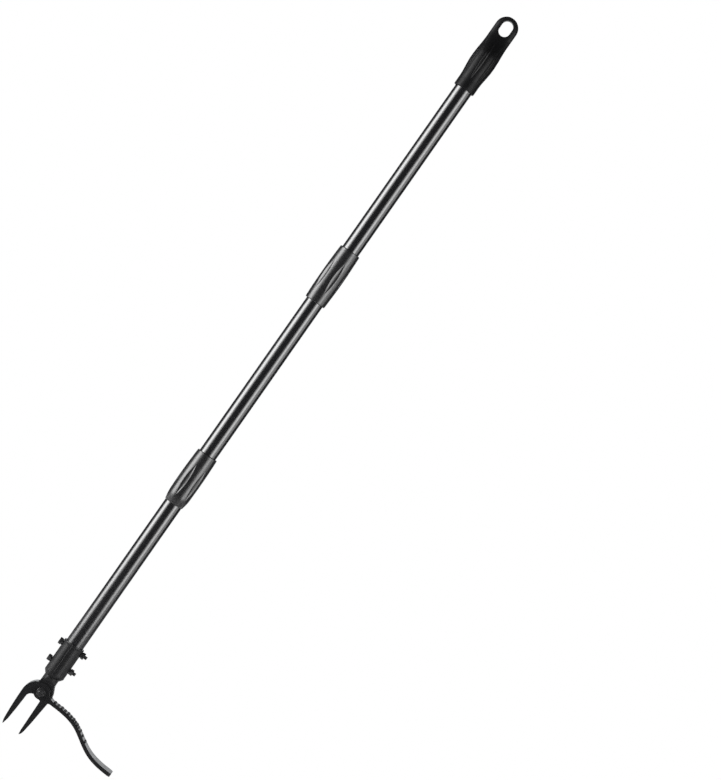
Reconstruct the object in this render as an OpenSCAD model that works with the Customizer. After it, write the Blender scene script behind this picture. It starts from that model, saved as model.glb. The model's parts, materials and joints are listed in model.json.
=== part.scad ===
// Stand-up weed puller: a sectional pole with a four-claw head and a foot lever.
// Millimetres. The origin is the centre of the hanging hole in the grip.
// +Z runs up the pole, +X points to the foot lever, +Y is the pivot's axis.

/* [Pole] */
// Outer diameter of the steel tubes
tube_d = 25; // [22:0.5:30]
// Wall thickness of the steel tubes
tube_wall = 1; // [0.8:0.1:1.5]
// Bare length of the upper tube between grip and coupler
upper_span = 257.6; // [150:0.1:400]
// Bare length of the middle tube between the couplers
middle_span = 243.2; // [150:0.1:400]
// Bare length of the lower tube between coupler and head
lower_span = 221.4; // [150:0.1:400]

/* [Grip] */
// Overall length of the grip
grip_len = 113; // [100:1:140]
// Diameter of the grip's lower rim
grip_rim_d = 30; // [29:0.5:36]
// Diameter of the grip at its palm swell
grip_swell_d = 34.9; // [31:0.1:40]
// Width of the flat tab around the hanging hole
tab_w = 31.3; // [28:0.1:34]
// Thickness of the flat tab
tab_t = 13; // [10:0.5:20]
// Width of the hanging hole
hole_w = 15.5; // [12:0.5:18]
// Length of the hanging hole
hole_len = 22.5; // [18:0.5:26]
// Height of material above the hanging hole
hole_rim = 5.45; // [4:0.05:8]

/* [Couplers] */
// Length of each coupler sleeve
coupler_len = 81; // [70:1:100]
// Diameter of a coupler at its ends
coupler_end_d = 29.4; // [28:0.1:34]
// Diameter of a coupler at its middle
coupler_mid_d = 31.4; // [29:0.1:36]
// How much shorter the lower coupler is at its foot
lower_trim = 3; // [0:0.5:6]
// Diameter of the screw thread that joins two tubes
thread_d = 16; // [12:1:19]
// Length of the screw thread
thread_len = 24; // [16:1:30]

/* [Head] */
// Outer diameter of the head's socket
socket_d = 28.8; // [28:0.1:33]
// Length of the head's socket
socket_len = 51.6; // [45:0.1:70]
// Distance from the socket's lower end down to the pivot
pivot_drop = 23.4; // [22:0.1:32]
// Distance between the two bolts through the socket
bolt_pitch = 26.1; // [20:0.1:30]
// Width of the neck below the socket
neck_w = 20.8; // [19:0.1:21]
// Thickness of each fork and lever plate
plate_t = 3; // [2.5:0.1:3.5]
// Clear gap between the two fork plates
fork_gap = 9; // [7:0.5:12]
// Length of the claws below the pivot
claw_len = 62; // [50:1:70]

/* [Foot lever] */
// Reach of the pedal from the pivot
pedal_reach = 136; // [110:1:150]
// Height that the pedal's S-curve falls
pedal_fall = 33.3; // [20:0.1:40]
// Depth of the channel's side walls
pedal_depth = 5; // [4:0.1:7]
// Width of the pedal at its free end
pedal_end_w = 30; // [24:0.5:34]
// Number of rows of raised dots on the pedal
dot_rows = 13; // [4:1:13]

/* [Hidden] */
$fn = 48;

tube_r = tube_d / 2;
tube_bore_r = tube_r - tube_wall;
run = 0.05;          // radial clearance of a sliding or turning fit
side_gap = 0.3;      // gap between plates that turn past each other

// heights along the pole
grip_top = hole_len / 2 + hole_rim;
grip_bottom = grip_top - grip_len;
tube_in_grip = 62;   // how far the upper tube reaches into the grip
coupler_half = coupler_len / 2;
joint_1 = grip_bottom - upper_span - coupler_half;
joint_2 = joint_1 - coupler_half - middle_span - coupler_half;
socket_top = joint_2 - coupler_half - lower_span;
socket_bottom = socket_top - socket_len;
socket_floor = 4;    // thickness of the socket's floor
pivot_z = socket_bottom - pivot_drop;

// screw joint between two tubes
insert_len = 28;     // length of each insert inside its tube
collar_t = 3;        // thickness of the collar that caps a tube's end
joint_gap = 0.3;     // gap left between the two collars
lower_foot_d = coupler_end_d - 3;    // the lower coupler's foot closes in round the tube

// socket bolts, M5
bolt_r = 2.5;
bolt_hole_r = 2.6;
bolt_head_af = 8;
bolt_head_h = 4.2;
washer_r = 4.1;
washer_t = 1.3;
washer_split = 0.8;
nut_h = 4;
bolt_end_x = 23.6;
first_bolt = 6.5;    // from the socket's rim to the upper bolt
bolt_heights = [socket_top - first_bolt, socket_top - first_bolt - bolt_pitch];

// pivot, M6
pin_r = 3;
fork_in = fork_gap / 2;
fork_out = fork_in + plate_t;
lever_in = fork_out + side_gap;
lever_out = lever_in + plate_t;
pivot_washer_y = lever_out + 0.2;
pivot_washer_r = 6.2;
pivot_washer_t = 1;
pivot_head_y = pivot_washer_y + pivot_washer_t;
pivot_af = 10;
pivot_head_h = 4;
lock_nut_h = 4.2;
lock_collar_h = 1.8;
lock_collar_r = 4.2;
spacer_r = 5;

// fork and lever outlines are drawn about the pivot, as [x, z]
hub_r = neck_w / 2;          // rounded back of the fork plates under the pivot
dome_r = 15.5;               // front of the fork plates, clear of the lever's web
neck_slope_z = 15;           // where the neck's slope meets the fork plates' faces
plate_arch_z = 22;           // top of the fork plates' arch
web_x = 15.9;                // where the pedal's top web begins
web_t = plate_t - 0.4;       // thickness of the lever's two webs
strap_z = -1.3;              // height of the pedal's top at its root
curve_x = 79;                // middle of the pedal's S-curve
curve_w = 13;                // how gradual the S-curve is
steps = 10;                  // segments in each curved stretch of an outline

function bezier(a, b, c, d, n = steps) = [for (i = [0:n]) let (t = i / n, s = 1 - t)
    s * s * s * a + 3 * s * s * t * b + 3 * s * t * t * c + t * t * t * d];
function arc(r, from, to, n = steps) = [for (i = [0:n]) let (a = from + (to - from) * i / n)
    [r * cos(a), r * sin(a)]];
function pedal_z(x) = strap_z - pedal_fall / (1 + exp((curve_x - x) / curve_w));
function pedal_slope(x) = atan((pedal_z(x + 0.5) - pedal_z(x - 0.5)));
function pedal_line(x1, x2, depth, n = 24) = [for (i = [0:n]) let (x = x1 + (x2 - x1) * i / n)
    [x + depth * sin(pedal_slope(x)), pedal_z(x) - depth * cos(pedal_slope(x))]];
function reversed(v) = [for (i = [len(v) - 1:-1:0]) v[i]];

// a prism of an x-z outline between two y values
module slab(y1, y2) {
    translate([0, y2, 0])
        rotate([90, 0, 0])
            linear_extrude(y2 - y1)
                children();
}

// a cylinder along x
module x_rod(r, x1, x2, sides = 48) {
    translate([x1, 0, 0])
        rotate([0, 90, 0])
            rotate([0, 0, 180 / sides])
                cylinder(r = r, h = x2 - x1, $fn = sides);
}

// a cylinder along y
module y_rod(r, y1, y2, sides = 48) {
    translate([0, y1, 0])
        rotate([-90, 0, 0])
            rotate([0, 0, 180 / sides])
                cylinder(r = r, h = y2 - y1, $fn = sides);
}

function hex_r(af) = af / 2 / cos(30);

module tube(z1, z2) {
    translate([0, 0, z1])
        difference() {
            cylinder(r = tube_r, h = z2 - z1, $fn = 96);
            translate([0, 0, -1])
                cylinder(r = tube_bore_r, h = z2 - z1 + 2, $fn = 96);
        }
}

// ---- grip ----

// the barrel's half outline, as [radius, height above the grip's lower rim]
barrel = concat(
    [[tube_r, 0], [grip_rim_d / 2 - 1, 0]],
    bezier([grip_rim_d / 2, 1], [grip_rim_d / 2, 20], [grip_swell_d / 2, 20], [grip_swell_d / 2, 42]),
    bezier([grip_swell_d / 2, 43], [grip_swell_d / 2, 62], [tab_w / 2, 62], [tab_w / 2, 76]),
    [[tab_w / 2, grip_len], [0, grip_len], [0, tube_in_grip], [tube_r, tube_in_grip]]);

module tab_front() {
    tab_r = tab_w / 2;
    round_z = grip_len - tab_r;
    union() {
        translate([-grip_swell_d, 0])
            square([2 * grip_swell_d, round_z]);
        translate([0, round_z])
            circle(r = tab_r, $fn = 96);
    }
}

// side outline, as [y, z]: the round barrel thins into the flat tab
tab_half = tab_t / 2;
grip_side = concat(
    [[-20, 0], [20, 0], [20, 60]],
    bezier([tab_w / 2 + 1, 64], [tab_w / 2, 76], [tab_half + 1, 72], [tab_half, 86]),
    [[tab_half, grip_len - 2], [tab_half - 2, grip_len], [2 - tab_half, grip_len],
        [-tab_half, grip_len - 2]],
    reversed(bezier([-tab_w / 2 - 1, 64], [-tab_w / 2, 76], [-tab_half - 1, 72], [-tab_half, 86])),
    [[-20, 60]]);

module hang_slot() {
    slot_r = hole_w / 2;
    slot_end = hole_len / 2 - slot_r;
    slab(-20, 20)
        union() {
            translate([0, slot_end])
                circle(r = slot_r);
            translate([0, -slot_end])
                circle(r = slot_r);
            square([hole_w, 2 * slot_end], center = true);
        }
}

module grip() {
    color([0.16, 0.16, 0.17])
        difference() {
            translate([0, 0, grip_bottom])
                intersection() {
                    rotate_extrude($fn = 96)
                        polygon(barrel);
                    slab(-20, 20)
                        tab_front();
                    rotate([90, 0, 90])
                        translate([0, 0, -20])
                            linear_extrude(40)
                                polygon(grip_side);
                }
            hang_slot();
        }
}

// ---- poles ----

module upper_pole() {
    color([0.07, 0.07, 0.08])
        tube(joint_1 + collar_t + joint_gap + 1, grip_bottom + tube_in_grip);
}

module middle_pole() {
    color([0.07, 0.07, 0.08])
        tube(joint_2 + collar_t + joint_gap + 1, joint_1 - collar_t);
}

module lower_pole() {
    color([0.07, 0.07, 0.08])
        difference() {
            tube(socket_bottom + socket_floor, joint_2 - collar_t);
            for (z = bolt_heights)
                translate([0, 0, z])
                    x_rod(bolt_hole_r, -tube_d, tube_d);
        }
}

// ---- screw joints ----

// sleeve that stays on the tube above and guides the tube below
module coupler(joint, foot_d, trim) {
    end_r = coupler_end_d / 2;
    mid_r = coupler_mid_d / 2;
    foot_r = foot_d / 2;
    foot_z = trim - coupler_half;
    outer = concat(
        [[foot_r - 0.8, foot_z], [foot_r, foot_z + 0.8]],
        bezier([end_r, foot_z + 10], [mid_r, -18], [mid_r, -12], [mid_r, 0]),
        bezier([mid_r, 1], [mid_r, 12], [mid_r, 20], [end_r, coupler_half - 1.5]),
        [[end_r - 0.8, coupler_half]]);
    bore = [[tube_r, coupler_half], [tube_r, 0], [tube_r + run, 0], [tube_r + run, foot_z]];
    color([0.1, 0.1, 0.11])
        translate([0, 0, joint])
            rotate_extrude($fn = 96)
                polygon(concat(outer, bore));
}

// female half: an insert in the lower end of the tube above
module thread_socket(joint) {
    bore_r = thread_d / 2 + run;
    base = joint_gap + 1;
    color([0.2, 0.2, 0.21])
        translate([0, 0, joint])
            rotate_extrude($fn = 96)
                polygon([[bore_r, base], [tube_r, base], [tube_r, base + collar_t],
                    [tube_bore_r, base + collar_t], [tube_bore_r, base + collar_t + insert_len],
                    [bore_r, base + collar_t + insert_len]]);
}

// male half: a plug in the upper end of the tube below
module thread_plug(joint) {
    stem_r = thread_d / 2;
    stem_top = joint_gap + 1 + thread_len;
    color([0.14, 0.14, 0.15])
        translate([0, 0, joint])
            rotate_extrude($fn = 96)
                polygon([[0, -collar_t - insert_len], [tube_bore_r, -collar_t - insert_len],
                    [tube_bore_r, -collar_t], [tube_r, -collar_t], [tube_r, 1], [stem_r, 1],
                    [stem_r, stem_top - 1.5], [stem_r - 1.5, stem_top], [0, stem_top]]);
}

module upper_coupler() {
    coupler(joint_1, coupler_end_d, 0);
}

module lower_coupler() {
    coupler(joint_2, lower_foot_d, lower_trim);
}

module upper_thread_socket() {
    thread_socket(joint_1);
}

module lower_thread_socket() {
    thread_socket(joint_2);
}

module upper_thread_plug() {
    thread_plug(joint_1);
}

module lower_thread_plug() {
    thread_plug(joint_2);
}

// ---- head ----

module head_socket() {
    socket_r = socket_d / 2;
    color([0.13, 0.13, 0.14])
        difference() {
            translate([0, 0, socket_bottom])
                rotate_extrude($fn = 96)
                    polygon([[0, 0], [11, 0], [socket_r, 4.5], [socket_r, socket_len - 2.5],
                        [socket_r + 0.5, socket_len - 2], [socket_r + 0.5, socket_len],
                        [tube_r, socket_len], [tube_r, socket_floor], [0, socket_floor]]);
            for (z = bolt_heights)
                translate([0, 0, z])
                    x_rod(bolt_hole_r, -socket_d, socket_d);
        }
}

// arch at the top of each fork plate, where it is let into the neck
module plate_top() {
    intersection() {
        translate([0, plate_arch_z - hub_r])
            circle(r = hub_r, $fn = 96);
        translate([-hub_r, 0])
            square([2 * hub_r, 40]);
    }
}

// round stub under the socket, cut away for the fork plates and sloped off to their faces
module neck_block() {
    slope = [[fork_out, -1], [fork_out, neck_slope_z], [hub_r, plate_arch_z], [20, plate_arch_z], [20, -1]];
    color([0.13, 0.13, 0.14])
        translate([0, 0, pivot_z])
            difference() {
                translate([0, 0, 9])
                    cylinder(r = hub_r, h = pivot_drop - 9, $fn = 96);
                for (side = [0, 1])
                    mirror([0, side, 0]) {
                        slab(fork_in, fork_out)
                            union() {
                                plate_top();
                                translate([-20, 0])
                                    square([40, plate_arch_z - hub_r]);
                            }
                        rotate([90, 0, 90])
                            translate([0, 0, -20])
                                linear_extrude(40)
                                    polygon(slope);
                    }
            }
}

fork_outline = concat(
    [[-hub_r, plate_arch_z - hub_r], [-hub_r, 0]],
    arc(hub_r, 180, 300),
    [[5.4, -11], [6.2, 7 - claw_len], [7, -claw_len]],
    bezier([7, -claw_len], [8.6, 1 - claw_len], [10, 3 - claw_len], [10.6, 7 - claw_len]),
    [[12.2, -42], [13.7, -26], [15.3, -10]],
    arc(dome_r, -8, 28),
    bezier([13.6, 7.6], [12.9, 9.6], [11.4, 11.2], [hub_r, 15]),
    [[hub_r - 4, 18]]);

module fork_plate(y1, y2) {
    color([0.13, 0.13, 0.14])
        translate([0, 0, pivot_z])
            difference() {
                slab(y1, y2)
                    union() {
                        polygon(fork_outline);
                        plate_top();
                    }
                y_rod(pin_r + run, -20, 20);
            }
}

module near_fork_plate() {
    fork_plate(-fork_out, -fork_in);
}

module far_fork_plate() {
    fork_plate(fork_in, fork_out);
}

module socket_bolts() {
    head_x = -socket_d / 2 - washer_t;
    color([0.22, 0.22, 0.23])
        for (z = bolt_heights)
            translate([0, 0, z])
                union() {
                    x_rod(bolt_r, head_x - 0.5, bolt_end_x);
                    x_rod(hex_r(bolt_head_af), head_x - bolt_head_h, head_x, 6);
                }
}

// spring washers under the heads and the nuts, each with its split
module socket_washers() {
    color([0.25, 0.25, 0.26])
        for (z = bolt_heights)
            for (side = [-1, 1])
                translate([0, 0, z])
                    difference() {
                        x_rod(washer_r, side * (socket_d / 2 + washer_t / 2) - washer_t / 2,
                            side * (socket_d / 2 + washer_t / 2) + washer_t / 2);
                        x_rod(bolt_r, -25, 25);
                        translate([-25, -washer_split / 2, bolt_r - 1])
                            cube([50, washer_split, 4]);
                    }
}

module socket_nuts() {
    nut_x = socket_d / 2 + washer_t;
    color([0.22, 0.22, 0.23])
        for (z = bolt_heights)
            translate([0, 0, z])
                difference() {
                    x_rod(hex_r(bolt_head_af), nut_x, nut_x + nut_h, 6);
                    x_rod(bolt_r, nut_x - 1, nut_x + nut_h + 1);
                }
}

module pivot_bolt() {
    color([0.22, 0.22, 0.23])
        translate([0, 0, pivot_z])
            union() {
                y_rod(pin_r, -pivot_head_y - lock_nut_h - lock_collar_h - 0.6, pivot_head_y + 0.5);
                y_rod(hex_r(pivot_af), pivot_head_y, pivot_head_y + pivot_head_h, 6);
            }
}

module pivot_washer(y) {
    color([0.25, 0.25, 0.26])
        translate([0, 0, pivot_z])
            difference() {
                y_rod(pivot_washer_r, y, y + pivot_washer_t);
                y_rod(pin_r, y - 1, y + pivot_washer_t + 1);
            }
}

module pivot_head_washer() {
    pivot_washer(pivot_washer_y);
}

module pivot_nut_washer() {
    pivot_washer(-pivot_head_y);
}

// hexagon with a round locking collar
module pivot_lock_nut() {
    color([0.22, 0.22, 0.23])
        translate([0, 0, pivot_z])
            difference() {
                union() {
                    y_rod(hex_r(pivot_af), -pivot_head_y - lock_nut_h, -pivot_head_y, 6);
                    y_rod(lock_collar_r, -pivot_head_y - lock_nut_h - lock_collar_h, -pivot_head_y - 1);
                }
                y_rod(pin_r, -pivot_head_y - 10, -pivot_head_y + 1);
            }
}

module pivot_spacer() {
    color([0.3, 0.3, 0.31])
        translate([0, 0, pivot_z])
            difference() {
                y_rod(spacer_r, -fork_in, fork_in);
                y_rod(pin_r, -fork_in - 1, fork_in + 1);
            }
}

// ---- foot lever ----

// top edge of the hook's shoulder, then down the hook's back
hook_back = concat(
    bezier([-10.9, 9.6], [-15.6, 8.2], [-21.9, 1.2], [-22.5, -8]),
    bezier([-22.5, -11], [-22.4, -30], [-21.4, -44], [-20.4, 7 - claw_len]));
hook_tip = bezier([-20.4, 7 - claw_len], [-19.8, 4 - claw_len], [-19, 2 - claw_len], [-18.2, -claw_len]);
hook_front = concat(
    [[-16.6, 6 - claw_len], [-15.2, -38]],
    bezier([-14.1, -16], [-13.4, -10], [-9.2, -7.4], [-6, -7.4]),
    bezier([-5, -7.4], [-1, -7.6], [3, -10.4], [8, -10.6]));

// side view of the whole lever
lever_outline = concat(
    hook_front,
    reversed(pedal_line(pedal_reach, 18, pedal_depth)),
    pedal_line(pedal_reach, 22, 0),
    bezier([20, pedal_z(20)], [15, -0.5], [11, 3.5], [9, 8.5]),
    arc(12.4, 45, 118),
    hook_back,
    hook_tip);

// room between the lever's side walls, below its two webs
hollow_outline = concat(
    [[-10.9, 30], [-10.9, 9.7 - web_t]],
    bezier([-11, 7], [-15.2, 5.4], [-19.2, -0.6], [-19.6, -8]),
    [[-30, -8], [-30, -100], [pedal_reach + 10, -100]],
    [[pedal_reach + 10, pedal_z(pedal_reach) - web_t]],
    pedal_line(pedal_reach, web_x, web_t),
    [[web_x, 30]]);

// plan view, as [x, half width]: parallel to mid pedal, then wider
function plan_edge(inset) = concat(
    [[-40, lever_out - inset]],
    bezier([55, lever_out - inset], [85, lever_out - inset],
        [95, pedal_end_w / 2 - inset], [122, pedal_end_w / 2 - inset]),
    [[pedal_reach - 3 + inset, pedal_end_w / 2 - inset]]);

module plan(edge, end_x, end_half) {
    right = concat(edge, [[end_x, end_half]]);
    left = [for (p = reversed(right)) [p[0], -p[1]]];
    translate([0, 0, -150])
        linear_extrude(200)
            polygon(concat(right, left));
}

// rows of four and three raised dots in turn, square to the pedal's top
module pedal_dots() {
    first_x = 23;
    row_pitch = 5.7;
    dot_pitch = 5.2;
    dot_rise = 0.9;
    dot_foot_r = 2.4;
    dot_top_r = 1.2;
    sunk = 0.5;
    for (row = [0:dot_rows - 1])
        let (flat_x = first_x + row * row_pitch, x = first_x + row * row_pitch * cos(pedal_slope(flat_x)))
            for (k = [row % 2 / 2 - 1.5:1:1.5 - row % 2 / 2])
                translate([x, k * dot_pitch, pedal_z(x)])
                    rotate([0, -pedal_slope(x), 0])
                        translate([0, 0, -sunk])
                            cylinder(r1 = dot_foot_r, r2 = dot_top_r, h = sunk + dot_rise, $fn = 24);
}

module foot_lever() {
    color([0.13, 0.13, 0.14])
        translate([0, 0, pivot_z])
            difference() {
                union() {
                    intersection() {
                        slab(-20, 20)
                            polygon(lever_outline);
                        plan(plan_edge(0), pedal_reach + 1, pedal_end_w / 2 - 3);
                    }
                    pedal_dots();
                }
                intersection() {
                    slab(-20, 20)
                        polygon(hollow_outline);
                    plan(plan_edge(plate_t), pedal_reach + 20, pedal_end_w / 2 - plate_t);
                }
                y_rod(pin_r + run, -20, 20);
            }
}

grip();
upper_pole();
upper_coupler();
upper_thread_socket();
upper_thread_plug();
middle_pole();
lower_coupler();
lower_thread_socket();
lower_thread_plug();
lower_pole();
head_socket();
neck_block();
near_fork_plate();
far_fork_plate();
socket_bolts();
socket_washers();
socket_nuts();
pivot_bolt();
pivot_head_washer();
pivot_nut_washer();
pivot_lock_nut();
pivot_spacer();
foot_lever();
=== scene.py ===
"""Stand-up weed puller: looks, light and camera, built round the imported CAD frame.

All lengths are in metres, and MM turns a number of millimetres into metres.
"""

import json
import math

import bmesh
import bpy
from mathutils import Matrix, Vector


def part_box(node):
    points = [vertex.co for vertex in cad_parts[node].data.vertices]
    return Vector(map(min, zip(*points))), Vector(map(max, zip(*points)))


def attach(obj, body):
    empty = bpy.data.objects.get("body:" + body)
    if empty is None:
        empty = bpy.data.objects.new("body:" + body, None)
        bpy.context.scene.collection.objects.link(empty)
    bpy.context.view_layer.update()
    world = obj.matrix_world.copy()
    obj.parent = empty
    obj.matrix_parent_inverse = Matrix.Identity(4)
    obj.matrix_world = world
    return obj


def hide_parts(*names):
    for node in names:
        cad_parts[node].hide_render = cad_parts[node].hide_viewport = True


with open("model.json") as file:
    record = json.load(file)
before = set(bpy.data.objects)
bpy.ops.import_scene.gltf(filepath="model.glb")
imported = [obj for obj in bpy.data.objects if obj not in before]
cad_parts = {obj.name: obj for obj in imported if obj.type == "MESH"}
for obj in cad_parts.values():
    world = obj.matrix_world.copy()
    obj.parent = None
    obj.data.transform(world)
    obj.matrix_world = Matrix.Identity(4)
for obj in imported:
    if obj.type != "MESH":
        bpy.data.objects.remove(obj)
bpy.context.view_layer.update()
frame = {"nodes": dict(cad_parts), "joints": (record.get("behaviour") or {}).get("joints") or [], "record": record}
MM = 0.001
FULL_TURN = 2 * math.pi
QUARTER_TURN = math.pi / 2
X, Y, Z = 0, 1, 2
X_AXIS = (1, 0, 0)
Y_AXIS = (0, 1, 0)
MINUS_Y_AXIS = (0, -1, 0)


# ---------- angles and curves ----------


def angles_round(count):
    """Evenly spaced angles once round a circle."""
    return [FULL_TURN * k / count for k in range(count)]


def wrapped(angle):
    """The same angle, brought between minus and plus half a turn."""
    return (angle + math.pi) % FULL_TURN - math.pi


def polar(radius, angle, z):
    """A point from its radius and angle round the z axis."""
    return (radius * math.cos(angle), radius * math.sin(angle), z)


def clamp(value):
    """The value, brought between 0 and 1."""
    return min(max(value, 0), 1)


def blend_steps(a, b, t):
    """A smooth step from a to b as t goes from 0 to 1."""
    t = clamp(t)
    return a + (b - a) * t * t * (3 - 2 * t)


def arc_drop(radius, run):
    """How far a round of this radius has dropped at a run along its tangent."""
    return radius - math.sqrt(max(radius ** 2 - run ** 2, 0))


# ---------- mesh helpers ----------


def add_object(name, mesh):
    """A new object for a finished mesh, linked into the scene."""
    ob = bpy.data.objects.new(name, mesh)
    bpy.context.scene.collection.objects.link(ob)
    return ob


def smooth_faces(mesh):
    """Smooth shading on every face."""
    for face in mesh.polygons:
        face.use_smooth = True


def shade(mesh, sharp_deg=35):
    """Smooth shading, with edges over sharp_deg kept sharp."""
    smooth_faces(mesh)
    mesh.set_sharp_from_angle(angle=math.radians(sharp_deg))


def freeze(ob):
    """Applies an object's modifiers to its mesh."""
    bpy.context.view_layer.update()
    graph = bpy.context.evaluated_depsgraph_get()
    made = bpy.data.meshes.new_from_object(ob.evaluated_get(graph))
    ob.modifiers.clear()
    ob.data = made


def ring_mesh(name, rings, closed_rows=False, capped=False):
    """Joins rings of points, each ring closed, into quads. closed_rows joins the last ring to the first.
    Caps are fans to the centres of the first and last rings."""
    n = len(rings[0])
    points = [p for ring in rings for p in ring]
    faces = []
    rows = len(rings) if closed_rows else len(rings) - 1
    for i in range(rows):
        a = i * n
        b = ((i + 1) % len(rings)) * n
        for k in range(n):
            faces.append((a + k, a + (k + 1) % n, b + (k + 1) % n, b + k))
    if capped:
        for ring_index in (0, len(rings) - 1):
            centre = sum((Vector(p) for p in rings[ring_index]), Vector()) / n
            points.append(centre)
            base = ring_index * n
            for k in range(n):
                faces.append((base + k, base + (k + 1) % n, len(points) - 1))
    mesh = bpy.data.meshes.new(name)
    mesh.from_pydata([tuple(p) for p in points], [], faces)
    solid = bmesh.new()
    solid.from_mesh(mesh)
    bmesh.ops.recalc_face_normals(solid, faces=solid.faces)
    solid.to_mesh(mesh)
    solid.free()
    return mesh


def lathe(name, profile, segments=96, shift=None, sharp_deg=35):
    """Turns a closed outline of (radius, z) round the z axis. shift(radius, z, angle) may move a point's
    radius. An outline that starts and ends on the axis is capped there."""
    on_axis = profile[0][0] == 0
    stations = profile[1:-1] if on_axis else profile
    rings = []
    for r, z in stations:
        ring = []
        for a in angles_round(segments):
            shifted = shift(r, z, a) if shift else r
            ring.append(polar(shifted, a, z))
        rings.append(ring)
    mesh = ring_mesh(name, rings, closed_rows=not on_axis, capped=on_axis)
    shade(mesh, sharp_deg)
    return add_object(name, mesh)


def turn(ob, matrix):
    """Moves a mesh by a matrix, leaving its object at the origin."""
    ob.data.transform(matrix)
    return ob


def along(axis, origin, turned_deg=0):
    """The matrix that takes z-axis parts to another axis, with their base at origin. They are first turned
    round their own axis."""
    swing = Vector((0, 0, 1)).rotation_difference(Vector(axis)).to_matrix().to_4x4()
    return Matrix.Translation(origin) @ swing @ Matrix.Rotation(math.radians(turned_deg), 4, "Z")


def joined(name, parts):
    """Several objects as one, with one mesh."""
    points, faces = [], []
    for part in parts:
        base = len(points)
        points += [v.co.copy() for v in part.data.vertices]
        faces += [tuple(base + i for i in f.vertices) for f in part.data.polygons]
        bpy.data.objects.remove(part)
    mesh = bpy.data.meshes.new(name)
    mesh.from_pydata(points, [], faces)
    mesh.update()
    shade(mesh)
    return add_object(name, mesh)


def cut(ob, tool):
    """Takes the tool's shape out of an object and removes the tool."""
    boolean = ob.modifiers.new("cut", "BOOLEAN")
    boolean.operation = "DIFFERENCE"
    boolean.solver = "EXACT"
    boolean.object = tool
    freeze(ob)
    bpy.data.objects.remove(tool)


def round_edges(ob, voxel, passes):
    """Rounds every edge a little, by a fine voxel remesh and a few passes of smoothing."""
    remesh = ob.modifiers.new("remesh", "REMESH")
    remesh.mode = "VOXEL"
    remesh.voxel_size = voxel
    smooth = ob.modifiers.new("smooth", "SMOOTH")
    smooth.iterations = passes
    freeze(ob)
    smooth_faces(ob.data)


def softened(name, node, voxel, passes=3):
    """A CAD node's own shape with its edges rounded, as paint and a press leave them."""
    ob = add_object(name, frame["nodes"][node].data.copy())
    weld = ob.modifiers.new("weld", "WELD")
    weld.merge_threshold = 0.001 * MM
    round_edges(ob, voxel, passes)
    return ob


def finish_piece(ob, body, slot_name, *nodes):
    """Gives a piece its body, its material and the CAD nodes that it stands for."""
    ob.data.materials.clear()
    ob.data.materials.append(MATERIALS[slot_name])
    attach(ob, body)
    if nodes:
        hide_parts(*nodes)


# ---------- materials ----------


class Nodes:
    """A small builder for node materials on one Principled shader."""

    # The colour sockets of a Mix node
    MIX_A, MIX_B, MIX_RESULT = 6, 7, 2

    def __init__(self, name, colour, rough, metal=0.0):
        self.material = bpy.data.materials.new(name)
        self.material.use_nodes = True
        self.tree = self.material.node_tree
        self.bsdf = self.tree.nodes["Principled BSDF"]
        self.bsdf.inputs["Base Color"].default_value = (*colour, 1)
        self.bsdf.inputs["Roughness"].default_value = rough
        self.bsdf.inputs["Metallic"].default_value = metal
        self.where = self.add("ShaderNodeTexCoord").outputs["Object"]
        self.material.diffuse_color = (*colour, 1)

    def add(self, kind, **inputs):
        """A new node. Each input is a value or another node's output."""
        node = self.tree.nodes.new(kind)
        for key, value in inputs.items():
            socket = node.inputs[key.replace("_", " ")]
            if isinstance(value, bpy.types.NodeSocket):
                self.tree.links.new(value, socket)
            else:
                socket.default_value = value
        return node

    def noise(self, scale, detail, stretch=(1, 1, 1)):
        """A noise's value at each point of the object."""
        mapping = self.add("ShaderNodeMapping", Vector=self.where, Scale=stretch)
        node = self.add("ShaderNodeTexNoise", Vector=mapping.outputs["Vector"], Scale=scale, Detail=detail)
        return node.outputs["Fac"]

    def remap(self, value, low, high, to_low, to_high):
        """Takes low to to_low and high to to_high, in a straight line between them."""
        limits = {"From_Min": low, "From_Max": high, "To_Min": to_low, "To_Max": to_high}
        return self.add("ShaderNodeMapRange", Value=value, **limits).outputs["Result"]

    def mix(self, factor, colour_a, colour_b):
        """A blend from colour_a to colour_b. Each is a colour or another node's output."""
        node = self.tree.nodes.new("ShaderNodeMix")
        node.data_type = "RGBA"
        self.tree.links.new(factor, node.inputs["Factor"])
        for index, colour in ((self.MIX_A, colour_a), (self.MIX_B, colour_b)):
            if isinstance(colour, bpy.types.NodeSocket):
                self.tree.links.new(colour, node.inputs[index])
            else:
                node.inputs[index].default_value = (*colour, 1)
        return node.outputs[self.MIX_RESULT]

    def colour(self, socket):
        """Takes the shader's base colour from another node's output."""
        self.tree.links.new(socket, self.bsdf.inputs["Base Color"])

    def rough(self, scale, detail, low, high, stretch=(1, 1, 1)):
        """Uneven gloss: the middle of a noise's range takes roughness from low to high."""
        patches = self.noise(scale, detail, stretch)
        self.tree.links.new(self.remap(patches, 0.3, 0.7, low, high), self.bsdf.inputs["Roughness"])

    def bump(self, height, distance, strength, after=None):
        """A bump on the shader, laid over an earlier one where after gives its normal."""
        node = self.add("ShaderNodeBump", Height=height, Distance=distance, Strength=strength)
        if after is not None:
            self.tree.links.new(after, node.inputs["Normal"])
        self.tree.links.new(node.outputs["Normal"], self.bsdf.inputs["Normal"])
        return node.outputs["Normal"]

    def edges(self, low, high):
        """1 on convex edges, 0 elsewhere."""
        point = self.tree.nodes.new("ShaderNodeNewGeometry").outputs["Pointiness"]
        return self.remap(point, low, high, 0.0, 1.0)


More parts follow.
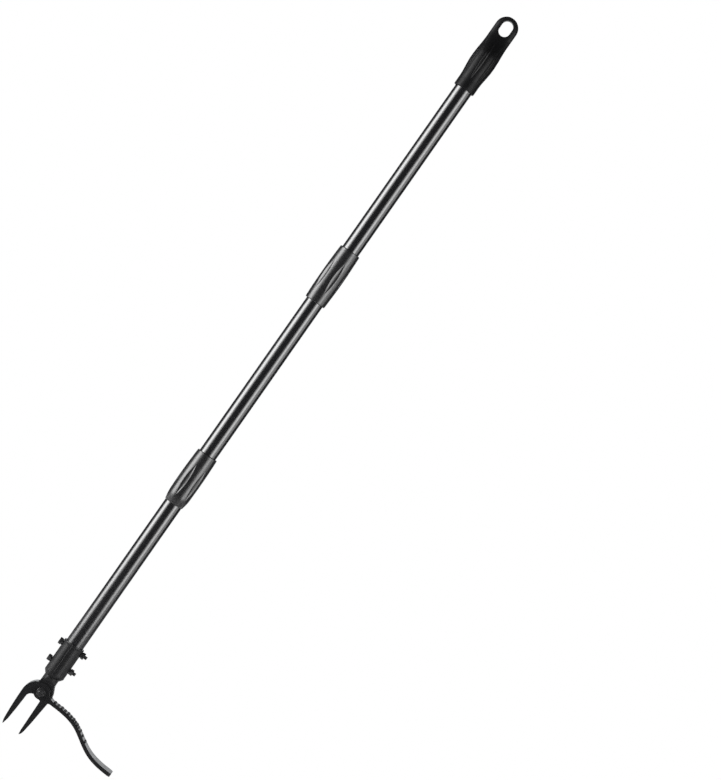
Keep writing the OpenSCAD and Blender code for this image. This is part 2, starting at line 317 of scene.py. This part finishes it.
def pole_paint():
    """Gloss black powder coat: a soft clear coat, gloss patches drawn out along the tube and a slight orange
    peel."""
    m = Nodes("pole_paint", (0.005, 0.005, 0.0055), 0.24)
    m.bsdf.inputs["Coat Weight"].default_value = 0.35
    m.bsdf.inputs["Coat Roughness"].default_value = 0.16
    cloud = m.noise(scale=9, detail=3)
    m.colour(m.mix(cloud, (0.004, 0.004, 0.0045), (0.006, 0.006, 0.0068)))
    m.rough(scale=40, detail=4, low=0.2, high=0.27, stretch=(1, 1, 0.2))
    m.bump(m.noise(scale=420, detail=2), distance=0.03 * MM, strength=0.25)
    return m.material


def head_paint():
    """Satin black paint on stamped steel, patchy, with worn edges and two sizes of grain."""
    m = Nodes("head_paint", (0.006, 0.006, 0.0065), 0.4)
    m.bsdf.inputs["Specular IOR Level"].default_value = 0.17
    patch = m.noise(scale=60, detail=4)
    base = m.mix(patch, (0.005, 0.005, 0.0054), (0.008, 0.008, 0.0086))
    worn = m.edges(0.53, 0.62)
    m.colour(m.mix(worn, base, (0.03, 0.03, 0.031)))
    m.rough(scale=180, detail=4, low=0.3, high=0.38)
    coarse = m.bump(m.noise(scale=260, detail=3), distance=0.06 * MM, strength=0.3)
    m.bump(m.noise(scale=1500, detail=2), distance=0.02 * MM, strength=0.4, after=coarse)
    return m.material


def moulded(name, dark, light, gloss, rough_low, rough_high, grain, depth):
    """Moulded plastic: slight colour drift, uneven gloss and a fine grain."""
    m = Nodes(name, light, rough_high)
    m.bsdf.inputs["Specular IOR Level"].default_value = gloss
    m.colour(m.mix(m.noise(scale=30, detail=3), dark, light))
    m.rough(scale=140, detail=3, low=rough_low, high=rough_high)
    m.bump(m.noise(scale=grain, detail=2), distance=depth, strength=0.5)
    return m.material


def turned_steel(name, dark, light, rough_low, rough_high, metal):
    """Machined steel: a mottled finish with a very fine grain."""
    m = Nodes(name, light, rough_high, metal)
    m.colour(m.mix(m.noise(scale=500, detail=4), dark, light))
    m.rough(scale=900, detail=3, low=rough_low, high=rough_high)
    m.bump(m.noise(scale=1800, detail=2), distance=0.02 * MM, strength=0.5)
    return m.material


MATERIALS = {
    "pole_paint": pole_paint(),
    "head_paint": head_paint(),
    "grip_plastic": moulded(
        "grip_plastic", dark=(0.003, 0.003, 0.0032), light=(0.005, 0.005, 0.0054), gloss=0.085,
        rough_low=0.37, rough_high=0.45, grain=1400, depth=0.02 * MM,
    ),
    "coupler_plastic": moulded(
        "coupler_plastic", dark=(0.006, 0.006, 0.0065), light=(0.009, 0.009, 0.0095), gloss=0.45,
        rough_low=0.25, rough_high=0.32, grain=900, depth=0.02 * MM,
    ),
    "insert_plastic": moulded(
        "insert_plastic", dark=(0.02, 0.02, 0.021), light=(0.03, 0.03, 0.032), gloss=0.4,
        rough_low=0.4, rough_high=0.5, grain=1200, depth=0.03 * MM,
    ),
    "fastener_steel": turned_steel(
        "fastener_steel", dark=(0.015, 0.015, 0.0155), light=(0.03, 0.03, 0.031),
        rough_low=0.22, rough_high=0.34, metal=0.4,
    ),
    "spacer_steel": turned_steel(
        "spacer_steel", dark=(0.35, 0.35, 0.36), light=(0.5, 0.5, 0.51),
        rough_low=0.28, rough_high=0.4, metal=1.0,
    ),
}


# ---------- places, from the frame ----------


def span(node, axis=Z):
    """A node's lowest and highest place along one axis."""
    low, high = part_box(node)
    return low[axis], high[axis]


GRIP_LOW, GRIP_TOP = span("grip")
TUBE_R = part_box("middle_pole")[1].x
SOCKET_LOW, SOCKET_TOP = span("head_socket")
SOCKET_RIM_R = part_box("head_socket")[1].x
PIVOT = next(Vector(j["pos_m"]) for j in frame["joints"] if j["name"] == "lever_pivot")
HALF_COUPLER = (span("upper_coupler")[1] - span("upper_coupler")[0]) / 2
JOINTS_Z = {which: span(which + "_coupler")[1] - HALF_COUPLER for which in ("upper", "lower")}


# ---------- poles ----------

TUBE_INNER_R = TUBE_R - 1 * MM      # the tube's wall is 1 mm thick


def tube_piece(name, node, body):
    """A painted tube with its cut ends' edges broken."""
    low, high = span(node)
    outer, inner, edge = TUBE_R, TUBE_INNER_R, 0.2 * MM
    outline = [
        (outer - edge, low), (outer, low + edge), (outer, high - edge), (outer - edge, high),
        (inner + edge, high), (inner, high - edge), (inner, low + edge), (inner + edge, low),
    ]
    finish_piece(lathe(name, outline, 128), body, "pole_paint", node)


tube_piece("upper_tube", "upper_pole", "upper_section")
tube_piece("middle_tube", "middle_pole", "middle_section")
tube_piece("lower_tube", "lower_pole", "lower_section")


# ---------- flutes, for the grip and the couplers ----------


def flutes(count, clock_deg, mid_z, half_len, half_width, depth, radius):
    """A ring of lens-shaped flutes, pointed at both ends, as a function that gives their depth at an angle
    and a height. half_width is measured round the surface at radius."""
    centres = [math.radians(clock_deg) + a for a in angles_round(count)]

    def depth_at(angle, z):
        s = (z - mid_z) / half_len
        if abs(s) >= 1:
            return 0
        away = min(abs(wrapped(angle - centre)) for centre in centres) * radius
        across = away / (half_width * (1 - s * s))
        return depth * math.sqrt(1 - s * s) * (1 - across * across) if across < 1 else 0

    return depth_at


# ---------- grip ----------

# Heights are above the grip's lower rim.
RIM_EDGE_H = 1 * MM         # height of the rounded edge at the rim
RIM_EDGE_IN = 0.7 * MM      # how far that edge comes in
SWELL_START = 12 * MM       # where the barrel begins to widen
SWELL_END = 42 * MM         # where it is at its widest
NARROW_START = 44 * MM      # where it begins to narrow
NARROW_END = 76 * MM        # where it has the tab's width
BARREL_BLEND = 52 * MM      # where the round barrel begins to thin into the tab
TAB_START = 86 * MM         # where the tab has its full flatness
RIM_R = 15 * MM
SWELL_R = 17.4 * MM
TAB_HALF_T = 6.4 * MM
TAB_HALF_W = 15.65 * MM
TAB_SQUARENESS = 0.5        # added to an ellipse's power of 2 where the tab is flat
ROUND_TOP = GRIP_TOP - GRIP_LOW - TAB_HALF_W        # where the tab's round top begins
SLOT_HALF_W = 7.75 * MM
SLOT_HALF_L = 11.25 * MM
SLOT_FILLET = 2.2 * MM

grip_flute_depth = flutes(
    count=8, clock_deg=-93, mid_z=43 * MM, half_len=31 * MM, half_width=2.7 * MM, depth=1.4 * MM,
    radius=SWELL_R,
)


def grip_half_width(h):
    """Half of the grip's width at height h."""
    if h > ROUND_TOP:
        return math.sqrt(TAB_HALF_W ** 2 - (h - ROUND_TOP) ** 2)
    if h < RIM_EDGE_H:
        return RIM_R - RIM_EDGE_IN * (1 - math.sin(QUARTER_TURN * h / RIM_EDGE_H))
    if h < SWELL_END:
        return blend_steps(RIM_R, SWELL_R, (h - SWELL_START) / (SWELL_END - SWELL_START))
    return blend_steps(SWELL_R, TAB_HALF_W, (h - NARROW_START) / (NARROW_END - NARROW_START))


def grip_section(h, segments=240):
    """One ring of the grip's outside at height h."""
    wide = grip_half_width(h)
    flatness = clamp((h - BARREL_BLEND) / (TAB_START - BARREL_BLEND))
    deep = min(blend_steps(wide, TAB_HALF_T, flatness), wide)
    power = 2 + TAB_SQUARENESS * blend_steps(0, 1, flatness)
    ring = []
    for a in angles_round(segments):
        c, s = math.cos(a), math.sin(a)
        x = wide * math.copysign(abs(c) ** (2 / power), c)
        y = deep * math.copysign(abs(s) ** (2 / power), s)
        pull = 1 - grip_flute_depth(a, h) / math.hypot(x, y)
        ring.append((x * pull, y * pull, GRIP_LOW + h))
    return ring


def grip_blank():
    """The grip's whole outside, with no holes yet."""
    edge_rows, body_rows, top_rows = 4, 190, 30
    heights = [RIM_EDGE_H * i / edge_rows for i in range(edge_rows + 1)]
    heights += [RIM_EDGE_H + (ROUND_TOP - RIM_EDGE_H) * i / body_rows for i in range(1, body_rows + 1)]
    heights += [ROUND_TOP + TAB_HALF_W * math.sin(QUARTER_TURN * i / top_rows) for i in range(1, top_rows)]
    rings = [grip_section(h) for h in heights]
    return add_object("grip_shell", ring_mesh("grip_shell", rings, capped=True))


def slot_ring(y, flare, segments=72):
    """The hanging hole's long round-ended outline at depth y, widened all round by flare."""
    half_w = SLOT_HALF_W + flare
    reach = SLOT_HALF_L - SLOT_HALF_W       # from the hole's centre to the centre of each round end
    ring = []
    for a in angles_round(segments):
        z = half_w * math.sin(a) + math.copysign(reach, math.sin(a))
        ring.append((half_w * math.cos(a), y, z))
    return ring


def slot_cutter():
    """A spool that cuts the hanging hole and rounds its two edges. It reaches past the tab's faces, because
    the grip is thicker at the hole's lower end."""
    steps = 12
    half_reach = TAB_HALF_T + 2 * MM
    rings = []
    for step in range(-steps, steps + 1):
        y = step / steps * half_reach
        over = max(abs(y) - (TAB_HALF_T - SLOT_FILLET), 0)
        flare = arc_drop(SLOT_FILLET, min(over, SLOT_FILLET)) + max(over - SLOT_FILLET, 0)
        rings.append(slot_ring(y, flare))
    return add_object("slot_cutter", ring_mesh("slot_cutter", rings, capped=True))


def bore_cutter():
    """A rod that cuts the hole for the tube, up from below the rim."""
    low, high = GRIP_LOW - 20 * MM, GRIP_LOW + 60 * MM
    return lathe("bore_cutter", [(0, low), (TUBE_R, low), (TUBE_R, high), (0, high)])


def grip_piece():
    """The fluted grip with its hanging hole and the hole for the tube."""
    ob = grip_blank()
    cut(ob, slot_cutter())
    cut(ob, bore_cutter())
    round_edges(ob, voxel=0.47 * MM, passes=2)
    finish_piece(ob, "upper_section", "grip_plastic", "grip")


grip_piece()


# ---------- couplers ----------

COUPLER_END_R = 14.7 * MM
COUPLER_MID_R = 15.7 * MM
COUPLER_RIM = 0.9 * MM      # radius of the round at each rim
SWELL_POWER = 0.8           # under 1, the sleeve's middle is fuller than a cosine
TAPER_LEN = 14 * MM
TAPER_POWER = 0.9           # under 1, the tapered foot is fuller than a sine
SLEEVE_GAP = 0.05 * MM      # between a tube and the sleeve round it


def coupler_radius(z, taper, trim):
    """A sleeve's outside radius at height z above its joint's middle."""
    swell = math.cos(QUARTER_TURN * min(abs(z) / HALF_COUPLER, 1)) ** SWELL_POWER
    r = COUPLER_END_R + (COUPLER_MID_R - COUPLER_END_R) * swell
    above_foot = max(z + HALF_COUPLER - trim, 0)
    if taper and above_foot < TAPER_LEN:
        foot_r = COUPLER_END_R - taper
        r = foot_r + (r - foot_r) * math.sin(QUARTER_TURN * above_foot / TAPER_LEN) ** TAPER_POWER
    near_end = min(HALF_COUPLER - z, above_foot, COUPLER_RIM)
    return r - arc_drop(COUPLER_RIM, COUPLER_RIM - near_end)


def coupler_piece(name, which, body, clock_deg, taper=0, trim=0):
    """A moulded sleeve with pointed flutes round its middle. clock_deg turns the flutes, taper is how far its
    foot closes in, and trim is how much shorter it is there."""
    mid_z = JOINTS_Z[which]
    bore = TUBE_R + SLEEVE_GAP
    rows = 170
    outline = []
    for i in range(rows + 1):
        z = trim - HALF_COUPLER + (2 * HALF_COUPLER - trim) * i / rows
        outline.append((coupler_radius(z, taper, trim), mid_z + z))
    outline += [(bore, mid_z + HALF_COUPLER), (bore, mid_z + trim - HALF_COUPLER)]
    flute_depth = flutes(
        count=6, clock_deg=clock_deg, mid_z=mid_z - 1.5 * MM, half_len=23 * MM, half_width=3.3 * MM,
        depth=0.72 * MM, radius=COUPLER_MID_R,
    )

    def fluted(r, z, a):
        return r - flute_depth(a, z) if r > bore else r

    ob = lathe(name, outline, 288, fluted, 50)
    finish_piece(ob, body, "coupler_plastic", which + "_coupler")


coupler_piece("upper_sleeve", "upper", "upper_section", clock_deg=-73)
coupler_piece("lower_sleeve", "lower", "middle_section", clock_deg=-106, taper=1.6 * MM, trim=3 * MM)


# ---------- screw joints ----------

SCREW_R = 8 * MM
SCREW_ROOT_R = 7 * MM
SCREW_PITCH = 3 * MM
SCREW_TIP = 1 * MM          # length of the chamfer on its end
COLLAR_BELOW = 3 * MM       # how far the plug's collar reaches below the joint's middle
COLLAR_ABOVE = 1 * MM       # and above it
OVERLAP = 0.2 * MM          # how far one part of a joined piece runs into the next


def threaded(name, radius, root, pitch, low, high, tip, segments=72):
    """A screw thread round the z axis, with its ridge run out at both ends."""
    rows = int((high - low) / (pitch / 10))

    def ridge(r, z, a):
        if r < root * 0.99:
            return r
        phase = (z / pitch - a / FULL_TURN) % 1
        height = clamp(1.5 - 5 * abs(phase - 0.5))      # its top and each flank take a fifth of the pitch
        fade = clamp(min(z - low, high - z) / pitch)
        return root + (radius - root) * height * fade

    outline = [(0, low), (root, low)]
    outline += [(root, low + (high - low) * i / rows) for i in range(1, rows + 1)]
    outline += [(root - tip, high + tip), (0, high + tip)]
    return lathe(name, outline, segments, ridge, 60)


def plug_piece(which, body):
    """The male plug: barrel inside the tube, collar on its end and the screw thread."""
    node = which + "_thread_plug"
    low, high = span(node)
    mid_z = JOINTS_Z[which]
    edge = 0.3 * MM
    collar_low, collar_top = mid_z - COLLAR_BELOW, mid_z + COLLAR_ABOVE
    base = lathe(node + "_base", [
        (0, low), (TUBE_INNER_R - edge, low), (TUBE_INNER_R, low + edge), (TUBE_INNER_R, collar_low),
        (TUBE_R - edge, collar_low), (TUBE_R, collar_low + edge), (TUBE_R, collar_top - edge),
        (TUBE_R - edge, collar_top), (0, collar_top),
    ])
    screw = threaded(
        node + "_screw", SCREW_R, SCREW_ROOT_R, SCREW_PITCH, low=collar_top - OVERLAP, high=high - SCREW_TIP,
        tip=SCREW_TIP,
    )
    finish_piece(joined(which + "_screw_plug", [base, screw]), body, "insert_plastic", node)


plug_piece("upper", "middle_section")
plug_piece("lower", "lower_section")


def dress(node):
    """Gives a CAD node that keeps its shape its material."""
    slots = {s["node"]: s["material_slot"] for s in frame["record"]["subparts"]}
    ob = frame["nodes"][node]
    ob.data.materials.clear()
    ob.data.materials.append(MATERIALS[slots[node]])


for node in ("upper_thread_socket", "lower_thread_socket", "pivot_spacer"):
    dress(node)


# ---------- head: socket, neck, fork and lever ----------

SOCKET_R = SOCKET_RIM_R - 0.5 * MM
SOCKET_FOOT_R = 11.2 * MM           # radius where the chamfered lower end begins
SOCKET_CHAMFER_H = 5 * MM           # height at which it ends
SOCKET_LIP_H = 3.4 * MM             # how far below the top the lip begins to stand out
SOCKET_FLOOR_T = 4 * MM             # thickness of the closed lower end
SEAM_ANGLE = math.radians(-98)      # where the rolled socket's edges meet
SEAM_DEPTH = 0.35 * MM
SEAM_HALF_W = 0.8 * MM
SEAM_WANDER = 0.02                  # how far the seam strays to each side, in radians
SEAM_WAVES = 260                    # radians of its wave in each metre
SEAM_LEAST_R = 13.5 * MM            # inside it, in the bore and low on the chamfer, there is no seam


def socket_outline():
    """Up the outside of the socket from its closed end, over the lip and down its bore."""
    low, top = SOCKET_LOW, SOCKET_TOP
    r, foot, lip = SOCKET_R, SOCKET_FOOT_R, SOCKET_RIM_R
    wall_low, wall_top = low + SOCKET_CHAMFER_H, top - SOCKET_LIP_H
    rows = 40
    outline = [(0, low), (foot - 0.6 * MM, low), (foot, low + 0.25 * MM)]
    outline += [(foot + (r - foot) * t, low + 0.25 * MM + 4.2 * MM * t) for t in (0.1, 0.5, 0.9)]
    outline += [(r, wall_low + (wall_top - wall_low) * i / rows) for i in range(rows + 1)]
    outline += [
        (r + 0.12 * MM, top - 2.9 * MM), (lip - 0.1 * MM, top - 2.3 * MM), (lip, top - 1.9 * MM),
        (lip, top - 0.5 * MM), (lip - 0.15 * MM, top - 0.15 * MM), (lip - 0.5 * MM, top),
        (TUBE_R + 0.35 * MM, top), (TUBE_R + 0.05 * MM, top - 0.3 * MM), (TUBE_R, low + SOCKET_FLOOR_T),
        (0, low + SOCKET_FLOOR_T),
    ]
    return outline


def seam(radius, z, a):
    """The socket's radius with its seam pressed in."""
    if radius < SEAM_LEAST_R:
        return radius
    gap = abs(wrapped(a - SEAM_ANGLE - SEAM_WANDER * math.sin(z * SEAM_WAVES))) * radius
    return radius - SEAM_DEPTH * max(0, 1 - (gap / SEAM_HALF_W) ** 2)


socket_body = lathe("socket_body", socket_outline(), 240, seam, 30)
finish_piece(socket_body, "lower_section", "head_paint", "head_socket")
finish_piece(softened("neck_stub", "neck_block", 0.3 * MM), "lower_section", "head_paint", "neck_block")
for side in ("near", "far"):
    plate = softened(side + "_fork", side + "_fork_plate", 0.28 * MM)
    finish_piece(plate, "lower_section", "head_paint", side + "_fork_plate")
finish_piece(softened("lever_pressing", "foot_lever", 0.42 * MM), "foot_lever", "head_paint", "foot_lever")


# ---------- fasteners ----------


def hexagon(name, across, low, high, chamfer_low, chamfer_high, bore=0.0):
    """A hexagon between two heights along z, its corners turned off where asked. bore leaves a hole."""
    flat = across / 2
    turned = flat * 1.02
    slope = 1.9         # how fast a turned corner's radius grows along z

    def radius(a, z):
        face = (a % (math.pi / 3)) - math.pi / 6
        r = flat / math.cos(face)
        if chamfer_high:
            r = min(r, turned + (high - z) * slope)
        if chamfer_low:
            r = min(r, turned + (z - low) * slope)
        return r

    steps = [0, 0.12 * MM, 0.25 * MM, 0.4 * MM, 0.6 * MM, 0.8 * MM]
    heights = [low + s for s in steps] + [high - s for s in reversed(steps)]
    angles = angles_round(96)
    rings = [[polar(radius(a, z), a, z) for a in angles] for z in heights]
    if bore:
        rings += [[polar(bore, a, z) for a in angles] for z in (high, low)]
    mesh = ring_mesh(name, rings, closed_rows=bool(bore), capped=not bore)
    shade(mesh, 25)
    return add_object(name, mesh)


def spring_washer(name, inner, outer, thick, lift):
    """A split ring that climbs by lift along z from one end to the other."""
    count = 64
    gap = math.radians(9)
    edge = 0.15 * MM
    half = thick / 2
    section = [
        (inner + edge, -half), (outer - edge, -half), (outer, edge - half), (outer, half - edge),
        (outer - edge, half), (inner + edge, half), (inner, half - edge), (inner, edge - half),
    ]
    rings = []
    for i in range(count + 1):
        a = gap / 2 + (FULL_TURN - gap) * i / count
        rise = lift * (i / count - 0.5)
        rings.append([polar(r, a, rise + z) for r, z in section])
    mesh = ring_mesh(name, rings, capped=True)
    shade(mesh, 30)
    return add_object(name, mesh)


def bolt_shank(name, radius, low, high, thread_from, pitch):
    """A plain shank that turns into a thread, with a chamfered end."""
    rows = int((high - thread_from) / (pitch / 8))
    tip_r = radius * 0.78
    tip_len = 0.5 * MM

    def ridge(r, z, a):
        if r <= tip_r or z < thread_from:
            return r
        phase = (z / pitch - a / FULL_TURN) % 1
        depth = 0.6 * pitch * abs(2 * phase - 1)
        return r - depth * min((z - thread_from) / pitch, 1)

    outline = [(0, low), (radius, low), (radius, thread_from)]
    outline += [(radius, thread_from + (high - thread_from - tip_len) * i / rows) for i in range(1, rows + 1)]
    outline += [(tip_r, high), (0, high)]
    return lathe(name, outline, 48, ridge, 60)


BOLT_LOW, BOLT_HIGH = span("socket_bolts", X)
NUT_LOW, NUT_HIGH = span("socket_nuts", X)
WASHER_REACH = span("socket_washers", X)[1]
WASHER_ROOM = 1.3 * MM      # between the socket and a head or nut
BOLT_R = 2.5 * MM
BOLT_PITCH = 0.8 * MM
BOLT_AF = 8 * MM            # across the flats of its head and nut
BOLT_ZS = (span("socket_bolts")[0] + BOLT_AF / 2, span("socket_bolts")[1] - BOLT_AF / 2)
HEAD_TURNS = (12, -7)       # how far each bolt and its nut are turned, in degrees


def socket_fasteners():
    """Two bolts right through the socket, with a spring washer at each end and a nut."""
    bolts, washers, nuts = [], [], []
    head_x = -WASHER_REACH
    for i, z in enumerate(BOLT_ZS):
        place = along(X_AXIS, (0, 0, z), HEAD_TURNS[i])
        thread_from = NUT_LOW - 3 * MM
        shank = bolt_shank(f"shank_{i}", BOLT_R, head_x - OVERLAP, BOLT_HIGH, thread_from, BOLT_PITCH)
        head = hexagon(f"head_{i}", BOLT_AF, BOLT_LOW, head_x, chamfer_low=True, chamfer_high=False)
        nut = hexagon(
            f"nut_{i}", BOLT_AF, NUT_LOW, NUT_HIGH, chamfer_low=True, chamfer_high=True, bore=BOLT_R,
        )
        bolts += [turn(shank, place), turn(head, place)]
        nuts.append(turn(nut, place))
        for side in (-1, 1):
            ring = spring_washer(f"spring_{i}_{side}", 2.6 * MM, 4.1 * MM, thick=0.95 * MM, lift=0.3 * MM)
            middle = side * (WASHER_REACH - WASHER_ROOM / 2)
            gap_deg = math.degrees(1.2 + i + side)      # each washer's gap points its own way
            washers.append(turn(ring, along(X_AXIS, (middle, 0, z), gap_deg)))
    finish_piece(joined("cross_bolts", bolts), "lower_section", "fastener_steel", "socket_bolts")
    finish_piece(joined("spring_washers", washers), "lower_section", "fastener_steel", "socket_washers")
    finish_piece(joined("cross_bolt_nuts", nuts), "lower_section", "fastener_steel", "socket_nuts")


PIN_R = 3 * MM
PIN_PITCH = 1 * MM
PIN_THREAD_FROM = 11 * MM       # where its thread begins, from the pole's middle plane
PIVOT_AF = 10 * MM              # across the flats of the pivot's head and nut
PIVOT_WASHER_R = 6.2 * MM
PIVOT_PLACE = along(Y_AXIS, PIVOT, 8)
LOCK_COLLAR_H = 1.8 * MM        # height of the lock nut's round collar


def pivot_bolt_piece():
    """The pivot's bolt, with its head on the far side and its thread towards the viewer."""
    low, high = span("pivot_bolt", Y)
    head_low = span("pivot_head_washer", Y)[1]
    shank = bolt_shank("pivot_shank", PIN_R, -head_low - OVERLAP, -low, PIN_THREAD_FROM, PIN_PITCH)
    head = hexagon("pivot_head", PIVOT_AF, head_low, high, chamfer_low=False, chamfer_high=True)
    parts = [turn(shank, along(MINUS_Y_AXIS, PIVOT)), turn(head, PIVOT_PLACE)]
    finish_piece(joined("pivot_hex_bolt", parts), "lower_section", "fastener_steel", "pivot_bolt")


def pivot_nut_piece():
    """The lock nut: a hexagon and the round collar on its outer end."""
    low, high = span("pivot_lock_nut", Y)
    collar_top = low + LOCK_COLLAR_H
    hexa = hexagon("lock_hex", PIVOT_AF, collar_top, high, chamfer_low=True, chamfer_high=True, bore=PIN_R)
    ring = lathe("lock_collar", [
        (PIN_R, low + 0.3 * MM), (PIN_R + 0.2 * MM, low + 0.05 * MM), (3.7 * MM, low),
        (4.05 * MM, low + 0.15 * MM), (4.2 * MM, low + 0.6 * MM), (4.25 * MM, collar_top + 0.1 * MM),
        (PIN_R, collar_top + 0.1 * MM),
    ], 64)
    nut = joined("pivot_locking_nut", [turn(hexa, PIVOT_PLACE), turn(ring, PIVOT_PLACE)])
    finish_piece(nut, "lower_section", "fastener_steel", "pivot_lock_nut")


def pivot_washer_piece(node):
    """A flat washer on the pivot, its outer edges broken."""
    low, high = span(node, Y)
    outer, bore, edge = PIVOT_WASHER_R, PIN_R + 0.1 * MM, 0.15 * MM
    disc = lathe(node + "_disc", [
        (bore, low), (outer - edge, low), (outer, low + edge), (outer, high - edge), (outer - edge, high),
        (bore, high),
    ])
    finish_piece(turn(disc, PIVOT_PLACE), "lower_section", "fastener_steel", node)


socket_fasteners()
pivot_bolt_piece()
pivot_nut_piece()
for node in ("pivot_head_washer", "pivot_nut_washer"):
    pivot_washer_piece(node)


# ---------- floor, light and camera ----------


def show_camera(tree, usual, shown, output):
    """Sends one shader to the camera's own rays, and the usual one to every other ray."""
    path = tree.nodes.new("ShaderNodeLightPath")
    choice = tree.nodes.new("ShaderNodeMixShader")
    tree.links.new(path.outputs["Is Camera Ray"], choice.inputs[0])
    tree.links.new(usual.outputs[0], choice.inputs[1])
    tree.links.new(shown.outputs[0], choice.inputs[2])
    tree.links.new(choice.outputs[0], tree.nodes[output].inputs["Surface"])


def floor():
    """A pale floor well below the hanging tool, evenly white to the camera."""
    size, z = 5.0, -1.62
    mesh = bpy.data.meshes.new("floor")
    corners = [(-size, -size, z), (size, -size, z), (size, size, z), (-size, size, z)]
    mesh.from_pydata(corners, [], [(0, 1, 2, 3)])
    ob = add_object("floor", mesh)
    material = bpy.data.materials.new("floor")
    material.use_nodes = True
    tree = material.node_tree
    bsdf = tree.nodes["Principled BSDF"]
    bsdf.inputs["Base Color"].default_value = (0.8, 0.8, 0.8, 1)
    bsdf.inputs["Roughness"].default_value = 0.9
    glow = tree.nodes.new("ShaderNodeEmission")
    glow.inputs["Strength"].default_value = 1.0
    show_camera(tree, bsdf, glow, "Material Output")
    ob.data.materials.append(material)


def studio_world():
    """White behind the object for the camera. Reflections see a dim room with a white backdrop on its far
    side."""
    world = bpy.data.worlds.new("studio")
    world.use_nodes = True
    bpy.context.scene.world = world
    tree = world.node_tree
    room = tree.nodes["Background"]
    room.inputs["Color"].default_value = (0.96, 0.98, 1, 1)
    way = tree.nodes.new("ShaderNodeTexCoord")
    split = tree.nodes.new("ShaderNodeSeparateXYZ")
    tree.links.new(way.outputs["Generated"], split.inputs[0])
    backdrop = tree.nodes.new("ShaderNodeMapRange")
    backdrop.interpolation_type = "SMOOTHSTEP"
    tree.links.new(split.outputs["Y"], backdrop.inputs["Value"])
    for socket, value in (("From Min", 0.86), ("From Max", 0.96), ("To Min", 0.04), ("To Max", 1.6)):
        backdrop.inputs[socket].default_value = value
    tree.links.new(backdrop.outputs["Result"], room.inputs["Strength"])
    white = tree.nodes.new("ShaderNodeBackground")
    white.inputs["Color"].default_value = (1, 1, 1, 1)
    show_camera(tree, room, white, "World Output")


LIGHT_DISTANCE = 2.0
STRIP_Z = -0.4
STRIP_HEIGHT = 1.64
PANEL_Z = -1.46
PANEL_HEIGHT = 0.3


def softbox(name, bearing_deg, spread_deg, radiance, mid_z=STRIP_Z, height=STRIP_HEIGHT):
    """A softbox facing the pole. Its bearing is measured from the camera's side towards +X, and its spread is
    half its width."""
    width = 2 * LIGHT_DISTANCE * math.tan(math.radians(spread_deg))
    data = bpy.data.lights.new(name, "AREA")
    data.shape = "RECTANGLE"
    data.size = width
    data.size_y = height
    data.energy = radiance * math.pi * width * height
    ob = bpy.data.objects.new(name, data)
    bearing = math.radians(bearing_deg)
    out = Vector((math.sin(bearing), -math.cos(bearing), 0))
    up = Vector((0, 0, 1))
    axes = Matrix((up.cross(out), up, out)).transposed().to_4x4()
    ob.matrix_world = Matrix.Translation(out * LIGHT_DISTANCE + up * mid_z) @ axes
    ob.visible_camera = False
    bpy.context.scene.collection.objects.link(ob)


def lights():
    """On each side, a bright strip inside a wider, dimmer one, and a low panel further round that lifts the
    head's edges."""
    softbox("left_core", bearing_deg=-71, spread_deg=15, radiance=10.5)
    softbox("left_skirt", bearing_deg=-69, spread_deg=27, radiance=4.4)
    softbox("right_core", bearing_deg=52, spread_deg=12, radiance=6.8)
    softbox("right_skirt", bearing_deg=62, spread_deg=32, radiance=2.9)
    softbox("left_panel", bearing_deg=-108, spread_deg=24, radiance=1.7, mid_z=PANEL_Z, height=PANEL_HEIGHT)
    softbox("right_panel", bearing_deg=112, spread_deg=24, radiance=1.1, mid_z=PANEL_Z, height=PANEL_HEIGHT)


def camera():
    """Square on to the pole's plane, rolled so that the pole leans as in the picture."""
    lean = math.radians(35.02)
    distance = 3.5
    field = 1.0183                  # height of the picture at the pole
    centre_x, centre_z = 0.11482, -0.4945
    sensor = 36
    data = bpy.data.cameras.new("camera")
    data.sensor_width = sensor
    data.lens = sensor * distance / field
    data.clip_end = 50
    ob = bpy.data.objects.new("camera", data)
    right = Vector((math.cos(lean), 0, math.sin(lean)))
    up = Vector((-math.sin(lean), 0, math.cos(lean)))
    back = Vector((0, -1, 0))
    axes = Matrix((right, up, back)).transposed().to_4x4()
    ob.matrix_world = Matrix.Translation((centre_x, -distance, centre_z)) @ axes
    bpy.context.scene.collection.objects.link(ob)
    bpy.context.scene.camera = ob


floor()
studio_world()
lights()
camera()
bpy.context.scene.view_settings.view_transform = "Standard"
